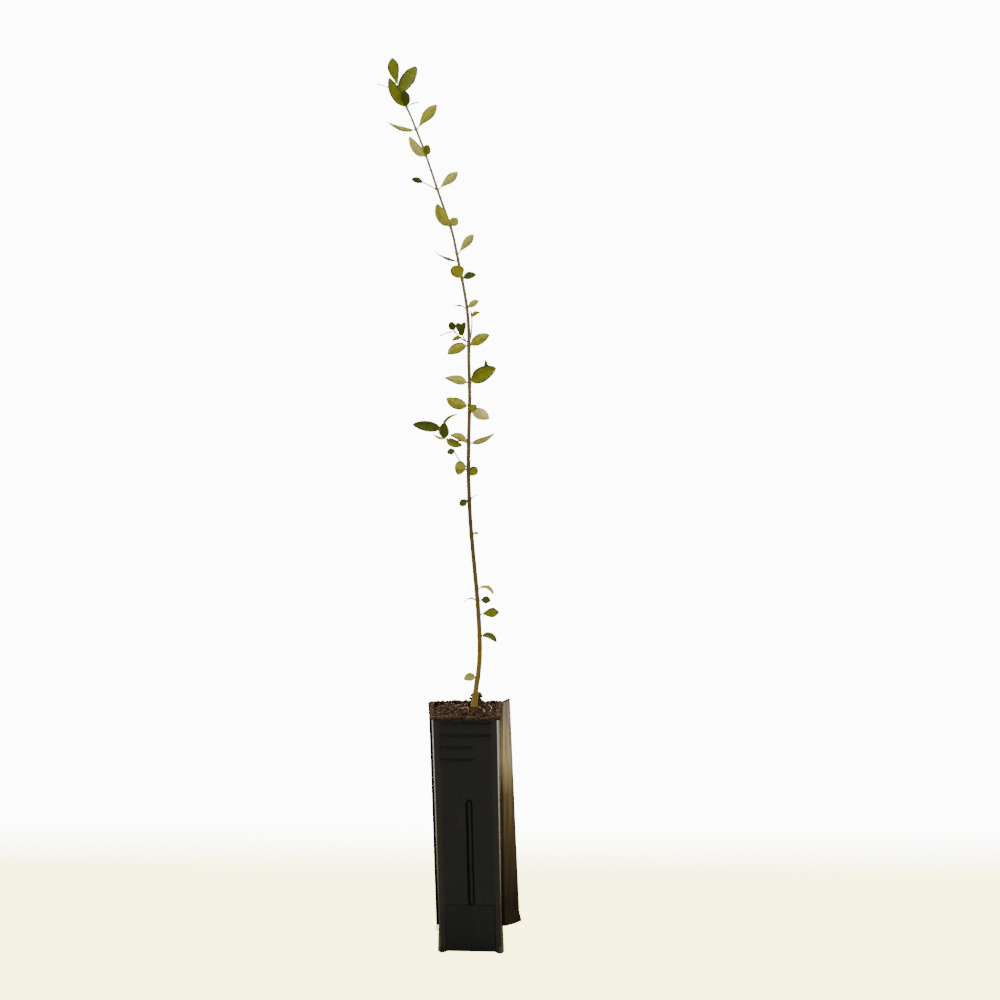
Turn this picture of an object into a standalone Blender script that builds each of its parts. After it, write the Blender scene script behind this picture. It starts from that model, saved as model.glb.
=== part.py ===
"""Potted mock privet: a forestry seedling with one slender stem, in a tall nursery pot made of two shells.

The origin is the middle of the pot's flat underside. +X is right, +Y is back and +Z is up.
"""
from math import cos, exp, log, pi, radians, sin, sqrt, tan
from random import Random

import bpy
from mathutils import Vector

MM = 0.001
CLEARANCE = 0.3 * MM

# The pot: corners of its outer faces in plan, at the foot and at the rim
POT_HEIGHT = 175 * MM
FRONT_LEFT = (Vector((-23, -20)) * MM, Vector((-24, -22.5)) * MM)
FRONT_RIGHT = (Vector((23, -20)) * MM, Vector((24, -22.5)) * MM)
REAR_RIGHT = (Vector((20.5, 19.5)) * MM, Vector((22.5, 23.5)) * MM)
REAR_LEFT = (Vector((-30, 19.5)) * MM, Vector((-32, 23.5)) * MM)
FLAP_EDGE = (Vector((32.2, 31.5)) * MM, Vector((28, 36)) * MM)
WALL = 1.0 * MM
BACK_STANDOFF = 1.7 * MM
CORNER_LAP = 9 * MM
CORNER_CUT = 2.2 * MM
FOOT_LIP = 1.6 * MM
FOOT_LIP_HEIGHT = 4 * MM

# Relief pressed into the front of the pot
STRIP_WIDTH = 4.4 * MM
STEP = 1.0 * MM
FOOT_BAND_TOP = 36 * MM
FOOT_BAND_DEPTH = 1.1 * MM
RIB_PITCH = 9 * MM
RIB_TOP = 170.5 * MM
RIB_COUNT = 4
RIB_HALF_HEIGHT = 2.2 * MM
RIB_RISE = 0.9 * MM
SHORT_RIB_END = 7 * MM
GROOVE_X = 1.4 * MM
GROOVE_TOP = 115 * MM
GROOVE_HALF_WIDTH = 2.6 * MM
GROOVE_FLOOR = 1.0 * MM
GROOVE_DEPTH = 2.4 * MM
GROOVE_RUNOUT = 3 * MM
KEYHOLE_X = 3 * MM
KEYHOLE_Z = 128 * MM
KEYHOLE_RADIUS = 5 * MM
KEYHOLE_DEPTH = 0.6 * MM

# The grid under the plug
BASE_THICKNESS = 2.2 * MM
DRAIN_RADIUS = 7 * MM
DRAIN_OFFSET = Vector((11, 9.5)) * MM
DRAIN_SIDES = 10

# The peat plug
PLUG_SHOULDER = 172.5 * MM
PLUG_DOME = 3 * MM
PLUG_SEAT = 177.6 * MM
SEAT_RADIUS = 3.4 * MM
PLUG_RINGS = (0.93, 0.72, 0.5, 0.32, 0.22)
PEAT_SEED = 7
PEAT_ROUGHNESS = 0.9 * MM
# Humps of peat on top of the plug: place from the stem's foot, height and spread
HUMPS = (
    (Vector((0.6, 5.2)) * MM, 12.5 * MM, 5.2 * MM),
    (Vector((-21, 9)) * MM, 3.2 * MM, 7.0 * MM),
    (Vector((-26, -8)) * MM, 2.6 * MM, 6.0 * MM),
    (Vector((13, 12)) * MM, 2.2 * MM, 6.0 * MM),
)

# The stem: points of its axis, from the plug to the top bud
STEM_ROUTE = [Vector(point) * MM for point in (
    (4.6, 1.2, 177.9), (6.3, 1.4, 192), (8.6, 1.8, 206), (9.7, 2.2, 222), (9.5, 2.4, 241),
    (8.5, 2.0, 263), (6.6, 1.2, 292), (5.1, 0.4, 320), (4.7, 0.0, 350), (5.4, 0.2, 376),
    (6.9, 0.6, 408), (6.9, 1.0, 437), (7.4, 1.0, 456), (6.6, 1.2, 472), (4.0, 1.6, 491),
    (0.2, 2.0, 512), (-3.6, 2.4, 531), (-11.8, 3.0, 556), (-21.2, 3.4, 586), (-30.6, 3.6, 612),
    (-36.6, 3.7, 626), (-41.0, 3.8, 637),
)]
STEM_SIDES = 8
STEM_STATIONS = 46
STEM_FOOT_RADIUS = 2.05 * MM
STEM_TIP_RADIUS = 0.75 * MM
FLARE_RADIUS = 0.9 * MM
FLARE_HEIGHT = 5 * MM

# Collars at the stem's nodes, which the leaf stalks grow from
COLLAR_SIDES = 6
COLLAR_WIDTH = 0.8 * MM
COLLAR_HALF_HEIGHT = 0.65 * MM

# Leaf forms: length of the stalk and place of the widest point, as shares of the leaf, and fullness
LEAF_FORMS = {
    "oval": (0.05, 0.44, 0.62),
    "spoon": (0.05, 0.63, 0.78),
    "paddle": (0.56, 0.55, 0.6),
    "lance": (0.06, 0.36, 0.9),
    "round": (0.08, 0.52, 0.5),
}
LEAF_STATIONS = 7
LEAF_EDGE = 0.24 * MM
LEAF_RIB = 0.5 * MM
STALK_RADIUS = 0.44 * MM
LEAF_FOLD = radians(16)
TIP_WIDTH = 0.2 * MM
TWIG_SIDES = 6
TWIG_RADIUS = 0.62 * MM
TWIG_TIP_RADIUS = 0.5 * MM

# Leaves on the stem, node by node from the foot: height of the node, then for each leaf its form,
# its tip from the node (right, back, up), its width, how far it arches up and how far its upper
# face turns to the front in degrees
LEAVES = (
    (199.0, (("oval", -9.8, -4, -0.4, 6.4, 1.2, 62),)),
    (230.7, (("oval", 12.8, -4, -4.2, 6.2, 2.2, 40),)),
    (246.8, (("spoon", 15.8, -3, 1.8, 7.4, 0.4, 72),)),
    (257.6, (("spoon", 10.4, -5, 0.6, 5.8, 0.2, 74), ("lance", -10.6, 4, -2.4, 4.0, 1.8, 6))),
    (266.0, (("oval", 12.8, -3.2, -3.8, 5.0, 3.0, 24),)),
    (307.2, (("round", 5.4, -2, 0.4, 3.0, 0.3, 40),)),
    (332.6, (("round", -6.6, -3, -4.0, 5.6, 0.3, 84), ("lance", 5.4, 3, 3.8, 2.6, 0.5, 14))),
    (354.8, (("round", -9.6, -5, 1.6, 10.6, 0.6, -84), ("round", 6.6, -4, -3.4, 7.2, 0.6, 80),
             ("lance", 6.2, 3, 1.8, 3.0, 0.6, 50))),
    (374.7, (("lance", 19.2, 3, 7.4, 6.4, -2.4, -40), ("oval", -13.0, -4, 6.0, 5.8, 1.6, -70))),
    (397.5, (("oval", 14.2, 3, -5.6, 8.8, 1.2, -84),)),
    (402.6, (("oval", -16.4, -4, 5.6, 8.8, -1.8, -80), ("round", 2.2, -4, -5.0, 7.4, 0.8, 84))),
    (419.0, (("oval", 20.4, -4.2, 9.8, 11.6, 0.8, 82), ("lance", -19.4, 3, 4.4, 7.0, 0.6, -80))),
    (446.2, (("oval", 15.8, -3, 7.0, 7.8, 0.8, -82), ("oval", -15.4, -3, -6.2, 7.8, 1.4, -82))),
    (473.8, (("oval", 9.4, -3, 4.4, 4.8, 0.6, -78), ("lance", -9.8, 3, 2.0, 3.2, 0.8, -14))),
    (495.2, (("round", -3.4, -7, 8.6, 10.4, -0.8, -84), ("oval", 10.0, 4, 3.4, 6.0, 0.6, 80))),
    (508.4, (("lance", -16.8, 4, 7.4, 4.2, -1.6, -20),)),
    (513.2, (("spoon", 13.2, -3, 13.2, 6.2, 0.4, -80),)),
    (533.6, (("oval", -8.6, -6, 15.4, 8.6, -1.6, -84), ("round", 4.6, 5, 7.2, 7.2, 0.6, -84))),
    (560.8, (("spoon", 15.2, 3, 12.9, 6.8, 0.4, -80), ("paddle", -18.4, -4, 7.4, 4.4, 1.2, -62))),
    (585.6, (("oval", -12.8, 4, 16.0, 7.0, -1.6, -80), ("round", 3.0, -6, 5.8, 6.8, 0.4, 84))),
    (605.0, (("spoon", 15.3, 4, 18.6, 7.8, 0.8, -80), ("lance", -21.0, -3, 6.2, 3.6, -2.2, -56))),
    (621.5, (("oval", -11.2, -5, 20.0, 8.4, -1.8, 84), ("round", -0.4, -7, 9.6, 7.0, -0.4, 84),
             ("lance", 8.4, 5, 5.0, 3.0, 0.6, 10))),
    (631.0, (("oval", 9.0, 17, 26.4, 11.6, 0.4, 84), ("lance", -16.6, -3, 7.4, 3.8, 0.8, 14))),
    (636.2, (("spoon", -3.2, -3, 20.4, 8.8, 0.4, 84), ("lance", -1.6, -3, 4.4, 2.6, 0.4, 0))),
)

# Short side shoots: height on the stem, then twigs and leaves. A twig is the number of the twig that it
# grows from (0 is the stem) and its tip from its foot. A leaf is the number of its twig, how far up the
# twig it sits and then the same sizes as above
SIDE_SHOOTS = {
    "side_shoot_lowest": (357.4, (
        (0, (-8.0, 1.5, 11.4)),
    ), (
        (1, 1.0, ("oval", -5.4, -2, -1.0, 5.0, 0.4, 80)),
        (1, 0.96, ("lance", -1.4, 2, 2.8, 2.0, 0.2, 0)),
    )),
    "side_shoot_left": (376.8, (
        (0, (-16.6, 7, 1.6)),
        (1, (-2.6, 1, 7.6)),
    ), (
        (1, 0.96, ("oval", 12.6, -5, -5.2, 6.4, 0.8, 80)),
        (1, 1.0, ("lance", -9.4, 2, 3.6, 3.4, 0.6, -40)),
        (1, 1.0, ("oval", 0.6, -4, 12.2, 8.2, 0.6, 84)),
        (2, 1.0, ("oval", -21.6, -3, 3.8, 8.2, 0.2, 84)),
        (2, 1.0, ("lance", 12.6, 4, 11.0, 3.4, 2.6, -34)),
    )),
    "side_shoot_right": (421.8, (
        (0, (9.6, 6, 5.6)),
    ), (
        (1, 1.0, ("lance", 0.2, 0, 9.4, 3.6, 0.3, 62)),
        (1, 0.9, ("lance", -5.0, 4, 3.4, 2.6, 0.4, 0)),
    )),
    "side_shoot_upper_left": (449.2, (
        (0, (-9.2, 4, 9.0)),
        (0, (-2.4, -4, 5.4)),
    ), (
        (1, 1.0, ("round", -1.6, -3, 6.4, 5.8, 0.4, 84)),
        (1, 0.86, ("lance", -12.4, 3, -1.8, 3.0, 0.8, 20)),
        (1, 0.42, ("oval", -6.6, -3, -2.6, 3.4, 0.4, -60)),
        (2, 1.0, ("round", -3.6, -3, 7.6, 5.4, 0.4, 82)),
        (2, 0.94, ("round", 2.4, -2, 8.6, 4.4, 0.4, 80)),
        (2, 0.8, ("round", -2.4, -3.5, 3.6, 5.2, 0.4, 80)),
    )),
    "side_shoot_upper_right": (449.0, (
        (0, (2.2, -3, 17.4)),
    ), (
        (1, 1.0, ("lance", 6.6, 0, 3.4, 3.6, 1.2, -50)),
        (1, 0.95, ("lance", -0.6, -2, 5.6, 2.2, 0.2, 30)),
    )),
}

UP = Vector((0, 0, 1))
FRONT = Vector((0, -1, 0))


# Shared geometry

def blend(start, end, share):
    return start + (end - start) * share


def ramp(value, low, high):
    """0 at low, 1 at high and straight between."""
    return min(1.0, max(0.0, (value - low) / (high - low)))


def smooth_point(route, share):
    """The point of a Catmull-Rom curve through the route at a share of its spans."""
    spans = len(route) - 1
    place = min(share, 0.999999) * spans
    index = int(place)
    t = place - index
    before = route[max(index - 1, 0)]
    start = route[index]
    end = route[index + 1]
    after = route[min(index + 2, spans)]
    return 0.5 * (2 * start + (end - before) * t + (2 * before - 5 * start + 4 * end - after) * t ** 2
                  + (3 * start - before - 3 * end + after) * t ** 3)


def add_object(name, vertices, faces, material, smooth_angle=40):
    mesh = bpy.data.meshes.new(name)
    mesh.from_pydata(vertices, [], faces)
    mesh.shade_smooth()
    mesh.set_sharp_from_angle(angle=radians(smooth_angle))
    mesh.materials.append(material)
    piece = bpy.data.objects.new(name, mesh)
    bpy.context.scene.collection.objects.link(piece)
    return piece


def lofted(sections):
    """Vertices and faces of a solid skinned over closed sections, with flat ends."""
    count = len(sections[0])
    vertices = [point for section in sections for point in section]
    faces = [tuple(reversed(range(count)))]
    for row in range(len(sections) - 1):
        for column in range(count):
            here = row * count + column
            beside = row * count + (column + 1) % count
            faces.append((here, beside, beside + count, here + count))
    last = (len(sections) - 1) * count
    faces.append(tuple(range(last, last + count)))
    return vertices, faces


def frame_across(direction, hint):
    """Two unit vectors across a direction, the second as near to the hint as it can be."""
    normal = (hint - direction * hint.dot(direction)).normalized()
    return direction.cross(normal), normal


def round_section(centre, direction, radius, sides, hint=FRONT):
    across, normal = frame_across(direction, hint)
    turns = [2 * pi * side / sides for side in range(sides)]
    return [centre + (across * sin(turn) + normal * cos(turn)) * radius for turn in turns]


def plain_material(name, colour, roughness):
    material = bpy.data.materials.new(name)
    material.use_nodes = True
    shader = material.node_tree.nodes["Principled BSDF"]
    shader.inputs["Base Color"].default_value = (*colour, 1)
    shader.inputs["Roughness"].default_value = roughness
    shader.inputs["Metallic"].default_value = 0
    return material


# The pot's shells

def corner_at(corner, z):
    return blend(corner[0], corner[1], z / POT_HEIGHT)


def side_normal(start, end):
    along = (end - start).normalized()
    return Vector((along.y, -along.x))


def moved_out(plan, amounts):
    """The plan's points moved outwards, squarely to the walls that meet there."""
    moved = []
    last = len(plan) - 1
    for index, point in enumerate(plan):
        before = side_normal(plan[max(index - 1, 0)], plan[max(index, 1)])
        after = side_normal(plan[min(index, last - 1)], plan[min(index + 1, last)])
        across = (before + after).normalized()
        moved.append(point + across * amounts[index] / across.dot(after))
    return moved


def moved_out_evenly(plan, amount):
    return moved_out(plan, [amount] * len(plan))


def half_keyhole(z):
    if z > KEYHOLE_Z:
        return sqrt(max(0.0, KEYHOLE_RADIUS ** 2 - (z - KEYHOLE_Z) ** 2))
    return KEYHOLE_RADIUS * ramp(z, GROOVE_TOP, KEYHOLE_Z)


def pressed_relief(x, z, panel_half):
    """The foot band and the groove, which the whole sheet follows, at x from the panel's middle."""
    inside = ramp(panel_half - abs(x), STRIP_WIDTH, STRIP_WIDTH + STEP)
    foot_band = -FOOT_BAND_DEPTH * ramp(FOOT_BAND_TOP - z, 0, STEP) * inside
    flank = ramp(GROOVE_HALF_WIDTH - abs(x - GROOVE_X), 0, GROOVE_HALF_WIDTH - GROOVE_FLOOR)
    length = ramp(GROOVE_TOP - z, 0, GROOVE_RUNOUT) * ramp(z, FOOT_BAND_TOP - STEP, FOOT_BAND_TOP)
    return min(foot_band, -GROOVE_DEPTH * flank * length)


def outer_relief(x, z, panel_half):
    """The pressed relief with the ribs and the keyhole, which are on the sheet's outer face alone."""
    inside = ramp(panel_half - abs(x), STRIP_WIDTH, STRIP_WIDTH + STEP)
    relief = pressed_relief(x, z, panel_half)
    for number in range(RIB_COUNT):
        crest = RIB_TOP - number * RIB_PITCH
        end = SHORT_RIB_END if number >= RIB_COUNT / 2 else panel_half
        rib = max(0.0, 1 - abs(z - crest) / RIB_HALF_HEIGHT) * ramp(end - x, 0, 2 * STEP)
        relief += RIB_RISE * rib * inside
    if GROOVE_TOP <= z < KEYHOLE_Z + KEYHOLE_RADIUS:
        relief -= KEYHOLE_DEPTH * ramp(half_keyhole(z) - abs(x - KEYHOLE_X), 0, STEP)
    return relief


def plug_relief(x, z, panel_half):
    """A little longer recesses than the sheet's, so that the plug stays clear of their ends."""
    reach = GROOVE_RUNOUT
    return min(pressed_relief(x, z - reach, panel_half), pressed_relief(x, z + reach, panel_half))


def front_columns(panel_half):
    """Places across the front where its relief bends, from the panel's middle."""
    strip = panel_half - STRIP_WIDTH
    groove = [GROOVE_X + side * half for side in (-1, 1) for half in (GROOVE_HALF_WIDTH, GROOVE_FLOOR)]
    keyhole = [KEYHOLE_X + KEYHOLE_RADIUS * share for share in (-1, 0.8, 1.05)]
    strips = [side * place for side in (-1, 1) for place in (strip, strip - STEP)]
    return sorted(groove + keyhole + strips)


def front_rows():
    """Heights where the front's relief bends."""
    rows = [0, FOOT_LIP_HEIGHT, FOOT_BAND_TOP - STEP, FOOT_BAND_TOP, GROOVE_TOP - GROOVE_RUNOUT, GROOVE_TOP]
    rows += [blend(GROOVE_TOP, KEYHOLE_Z, share) for share in (0.35, 0.7, 1)]
    rows += [KEYHOLE_Z + KEYHOLE_RADIUS * share for share in (0.6, 0.9, 1.1)]
    for number in range(RIB_COUNT):
        crest = RIB_TOP - number * RIB_PITCH
        rows += [crest - RIB_HALF_HEIGHT, crest, crest + RIB_HALF_HEIGHT]
    return sorted(rows + [POT_HEIGHT])


def front_plan(z, relief, lip_size=FOOT_LIP):
    """Outer face of the front shell at a height, from its left rear end round to its right one."""
    left, right = corner_at(FRONT_LEFT, z), corner_at(FRONT_RIGHT, z)
    rear_left, rear_right = corner_at(REAR_LEFT, z), corner_at(REAR_RIGHT, z)
    half = (right.x - left.x) / 2
    to_left = (rear_left - left).normalized()
    to_right = (rear_right - right).normalized()
    left_end = [rear_left, left + to_left * CORNER_CUT]
    left_end += [left + Vector((CORNER_CUT, CORNER_CUT)) * 0.3, left + Vector((CORNER_CUT, 0))]
    right_end = [right - Vector((CORNER_CUT, 0)), right + Vector((-CORNER_CUT, CORNER_CUT)) * 0.3]
    right_end += [right + to_right * CORNER_CUT, rear_right]
    panel = [Vector((x, left.y)) for x in front_columns(half)]
    lip = lip_size * ramp(FOOT_LIP_HEIGHT - z, 0, FOOT_LIP_HEIGHT)
    amounts = [relief(point.x, z, half) for point in panel]
    return moved_out(left_end + panel + right_end, [0, lip, lip, lip] + amounts + [lip, lip, lip, 0])


def front_outer(z):
    return front_plan(z, outer_relief)


def front_inner(z):
    return moved_out_evenly(front_plan(z, pressed_relief), -WALL)


def rear_outer(z):
    """Outer face of the rear shell: the flap's free edge, the right rear corner, round to the left."""
    rear_left, rear_right = corner_at(REAR_LEFT, z), corner_at(REAR_RIGHT, z)
    along_wall = (corner_at(FRONT_LEFT, z) - rear_left).normalized()
    flap = corner_at(FLAP_EDGE, z)
    lip = FOOT_LIP * 1.6 * ramp(1.6 * FOOT_LIP_HEIGHT - z, 0, 1.6 * FOOT_LIP_HEIGHT)
    wrap = [rear_right + Vector((0.4 * MM, 0)), rear_left, rear_left + along_wall * CORNER_LAP]
    corner_right, corner_left, lap_end = moved_out(wrap, [BACK_STANDOFF] * 3)
    back = [blend(corner_right, corner_left, share) for share in (0.04, 0.35, 0.68, 0.97)]
    plan = [flap, blend(flap, corner_right, 0.5), blend(flap, corner_right, 0.94)] + back
    plan += [blend(corner_left, lap_end, 0.1), lap_end]
    return moved_out(plan, [-lip, -lip, -lip * 0.4] + [0] * 6)


def rear_inner(z):
    return moved_out_evenly(rear_outer(z), -WALL)


def sheet(name, outer_at, inner_at, rows, material):
    """A thin shell between the plans of its outer and inner faces at each height."""
    sections = []
    for z in rows:
        loop = outer_at(z) + inner_at(z)[::-1]
        sections.append([Vector((point.x, point.y, z)) for point in loop])
    vertices, faces = lofted(sections)
    count = len(sections[0])
    half = count // 2
    strips = []
    for base in (0, len(vertices) - count):
        for column in range(half - 1):
            quad = (base + column, base + column + 1, base + count - 2 - column, base + count - 1 - column)
            strips.append(quad if base else quad[::-1])
    return add_object(name, vertices, faces[1:-1] + strips, material)


def inner_outline(z, inset):
    """Closed outline inside both shells, a given distance in from the outer faces."""
    front = moved_out_evenly(front_plan(z, plug_relief, 0), -inset)
    back = Vector((0, -CLEARANCE))
    front[0] += back
    front[-1] += back
    left_wall = [blend(front[0], front[1], share) for share in (0.35, 0.7)]
    right_wall = [blend(front[-2], front[-1], share) for share in (0.3, 0.65)]
    rear = [blend(front[-1], front[0], share) for share in (0.25, 0.5, 0.75)]
    return front[:1] + left_wall + front[1:-1] + right_wall + front[-1:] + rear


def pot_base(material):
    """The grid in the pot's foot: a plate with four drain holes."""
    bottom = [Vector((point.x, point.y, 0)) for point in inner_outline(0, WALL + CLEARANCE)]
    top = [point + UP * BASE_THICKNESS for point in bottom]
    plate = add_object("pot_base", *lofted([bottom, top]), material)
    for number, (side, depth) in enumerate(((-1, -1), (1, -1), (1, 1), (-1, 1))):
        centre = Vector((side * DRAIN_OFFSET.x, depth * DRAIN_OFFSET.y, -MM))
        foot = round_section(centre, UP, DRAIN_RADIUS, DRAIN_SIDES)
        head = [point + UP * (BASE_THICKNESS + 2 * MM) for point in foot]
        drain = add_object(f"drain_{number}", *lofted([foot, head]), material)
        drain.hide_render = True
        drain.display_type = "WIRE"
        cut = plate.modifiers.new("drain", "BOOLEAN")
        cut.operation = "DIFFERENCE"
        cut.object = drain
    return plate


# The peat plug

def peat_height(point, foot, edge_share):
    """Height of the peat's top: a low dome with humps, flat where the stem stands."""
    away = point - foot
    height = PLUG_SHOULDER + PLUG_DOME * (1 - edge_share ** 2)
    for place, rise, spread in HUMPS:
        height += rise * exp(-((away - place).length / spread) ** 2)
    return height


def root_ball(material):
    rng = Random(PEAT_SEED)
    inset = WALL + CLEARANCE
    foot = STEM_ROUTE[0].to_2d()
    rows = [BASE_THICKNESS + CLEARANCE, FOOT_BAND_TOP - STEP - GROOVE_RUNOUT, FOOT_BAND_TOP - STEP]
    rows += [FOOT_BAND_TOP, FOOT_BAND_TOP + GROOVE_RUNOUT, GROOVE_TOP, GROOVE_TOP + GROOVE_RUNOUT, PLUG_SHOULDER]
    sections = []
    for z in rows:
        sections.append([Vector((point.x, point.y, z)) for point in inner_outline(z, inset)])
    rim = [point.to_2d() for point in sections[-1]]
    for share in PLUG_RINGS:
        ring = []
        for point in rim:
            place = blend(foot, point, share)
            rough = rng.uniform(-PEAT_ROUGHNESS, PEAT_ROUGHNESS)
            ring.append(Vector((place.x, place.y, peat_height(place, foot, share) + rough)))
        sections.append(ring)
    seat = []
    for point in rim:
        out = (point - foot).normalized() * SEAT_RADIUS
        seat.append(Vector((foot.x + out.x, foot.y + out.y, PLUG_SEAT)))
    sections.append(seat)
    return add_object("root_ball", *lofted(sections), material)


# The stem

def stem_point(share):
    return smooth_point(STEM_ROUTE, share)


def stem_radius(share):
    rise = stem_point(share).z - STEM_ROUTE[0].z
    flare = FLARE_RADIUS * exp(-rise / FLARE_HEIGHT)
    return blend(STEM_FOOT_RADIUS, STEM_TIP_RADIUS, share) + flare


def stem_direction(share):
    step = 0.002
    return (stem_point(min(share + step, 1)) - stem_point(max(share - step, 0))).normalized()


def share_at_height(z):
    low, high = 0.0, 1.0
    for _ in range(30):
        middle = (low + high) / 2
        if stem_point(middle).z < z:
            low = middle
        else:
            high = middle
    return low


def stem(material):
    sections = []
    for station in range(STEM_STATIONS + 1):
        share = station / STEM_STATIONS
        direction = UP if station == 0 else stem_direction(share)
        sections.append(round_section(stem_point(share), direction, stem_radius(share), STEM_SIDES))
    return add_object("stem", *lofted(sections), material, 60)


# Leaves and side shoots

def leaf_half_width(share, form, width):
    stalk, widest, fullness = LEAF_FORMS[form]
    if share <= stalk:
        return STALK_RADIUS
    along = (share - stalk) / (1 - stalk)
    swell = sin(pi * min(along ** (log(0.5) / log(widest)), 1)) ** fullness
    return max(width / 2 * swell, TIP_WIDTH, STALK_RADIUS * (1 - along))


def leaf(name, root, form, tip, width, arch, turn, axis, material):
    """One leaf with its stalk: a thin folded blade skinned along an arched rib."""
    chord = tip.normalized()
    toward_front = frame_across(chord, FRONT)[1]
    upper = chord.cross(toward_front)
    if upper.dot(axis) < 0:
        upper = -upper
    face = upper * cos(radians(turn)) + toward_front * sin(radians(turn))
    middle = root + tip / 2 + upper * arch * 2
    end = root + tip
    sections = []
    for station in range(LEAF_STATIONS + 1):
        share = station / LEAF_STATIONS
        centre = root * (1 - share) ** 2 + middle * 2 * share * (1 - share) + end * share ** 2
        direction = ((middle - root) * (1 - share) + (end - middle) * share).normalized()
        beside, normal = frame_across(direction, face)
        half = leaf_half_width(share, form, width)
        blade = ramp(half, STALK_RADIUS, 3 * STALK_RADIUS)
        lift = normal * half * tan(LEAF_FOLD) * blade
        edge = normal * blend(STALK_RADIUS * 0.5, LEAF_EDGE / 2, blade)
        rib = normal * blend(STALK_RADIUS, LEAF_RIB / 2, blade)
        sections.append([
            centre + beside * half + lift - edge, centre + beside * half + lift + edge,
            centre + rib, centre - beside * half + lift + edge,
            centre - beside * half + lift - edge, centre - rib])
    return add_object(name, *lofted(sections), material)


def twig(name, root, tip, radius, tip_radius, material):
    """A thin tapering shoot with a slight upward curve."""
    direction = tip.normalized()
    sag = frame_across(direction, UP)[1] * tip.length * -0.06
    steps = 4
    sections = []
    for step in range(steps + 1):
        share = step / steps
        centre = root + tip * share + sag * 4 * share * (1 - share)
        sections.append(round_section(centre, direction, blend(radius, tip_radius, share), TWIG_SIDES))
    return add_object(name, *lofted(sections), material)


def collar(name, share, material):
    """A ring round the stem at a node, clear of it on all sides."""
    centre, direction = stem_point(share), stem_direction(share)
    inner = (stem_radius(share) + CLEARANCE) / cos(pi / COLLAR_SIDES)
    rings = [round_section(centre + direction * rise, direction, radius, COLLAR_SIDES)
             for radius, rise in ((inner, -COLLAR_HALF_HEIGHT), (inner + COLLAR_WIDTH, -COLLAR_HALF_HEIGHT / 2),
                                  (inner + COLLAR_WIDTH, COLLAR_HALF_HEIGHT / 2), (inner, COLLAR_HALF_HEIGHT))]
    vertices = [point for ring in rings for point in ring]
    faces = []
    for ring in range(4):
        for side in range(COLLAR_SIDES):
            beside = (side + 1) % COLLAR_SIDES
            below, above = ring * COLLAR_SIDES, (ring + 1) % 4 * COLLAR_SIDES
            faces.append((below + side, below + beside, above + beside, above + side))
    return add_object(name, vertices, faces, material)


def united(name, pieces):
    """The pieces joined into one solid by a single union, with the pieces then removed."""
    first = pieces[0]
    others = bpy.data.collections.new(name + "_pieces")
    for piece in pieces[1:]:
        bpy.context.scene.collection.objects.unlink(piece)
        others.objects.link(piece)
    bpy.context.scene.collection.children.link(others)
    union = first.modifiers.new("union", "BOOLEAN")
    union.operation = "UNION"
    union.operand_type = "COLLECTION"
    union.collection = others
    union.solver = "EXACT"
    bpy.context.view_layer.update()
    shape = bpy.data.meshes.new_from_object(first.evaluated_get(bpy.context.evaluated_depsgraph_get()))
    first.modifiers.clear()
    first.data = shape
    first.name = name
    for piece in pieces[1:]:
        bpy.data.objects.remove(piece)
    bpy.data.collections.remove(others)
    return first


def root_beside_stem(share, tip, distance):
    """A point beside the stem, on the side that the tip points to."""
    direction = stem_direction(share)
    out = (tip - direction * tip.dot(direction)).normalized()
    return stem_point(share) + out * (stem_radius(share) + distance)


def leaf_node(number, height, leaves, material):
    """The leaves of one node with their collar."""
    share = share_at_height(height * MM)
    name = f"leaves_{number:02d}"
    pieces = [collar(name + "_collar", share, material)]
    for index, (form, right, back, up, width, arch, turn) in enumerate(leaves):
        tip = Vector((right, back, up)) * MM
        root = root_beside_stem(share, tip, CLEARANCE + COLLAR_WIDTH * 0.6)
        reach = stem_point(share) + tip - root
        pieces.append(leaf(f"{name}_{index}", root, form, reach, width * MM, arch * MM, turn,
                           stem_direction(share), material))
    return united(name, pieces)


def side_shoot(name, height, twigs, leaves, material):
    """A short shoot from a leaf's axil, with its own leaves."""
    share = share_at_height(height * MM)
    ends = {}
    pieces = []
    for number, (parent, tip) in enumerate(twigs, start=1):
        tip = Vector(tip) * MM
        if parent:
            root = ends[parent][0] + ends[parent][1] * 0.98
        else:
            root = root_beside_stem(share, Vector(twigs[0][1]), CLEARANCE + TWIG_RADIUS)
        ends[number] = (root, tip)
        start = TWIG_RADIUS if parent == 0 else TWIG_TIP_RADIUS
        pieces.append(twig(f"{name}_twig_{number}", root, tip, start, TWIG_TIP_RADIUS, material))
    for index, (number, place, (form, right, back, up, width, arch, turn)) in enumerate(leaves):
        root, tip = ends[number]
        pieces.append(leaf(f"{name}_leaf_{index}", root + tip * (place - 0.02), form,
                           Vector((right, back, up)) * MM, width * MM, arch * MM, turn,
                           tip.normalized(), material))
    return united(name, pieces)


for leftover in list(bpy.data.objects):
    bpy.data.objects.remove(leftover, do_unlink=True)

BLACK_PLASTIC = plain_material("black_plastic", (0.012, 0.013, 0.015), 0.3)
PEAT = plain_material("peat", (0.045, 0.028, 0.016), 0.95)
BARK = plain_material("bark", (0.20, 0.14, 0.05), 0.7)
LEAF_GREEN = plain_material("leaf_green", (0.16, 0.20, 0.03), 0.5)

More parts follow.
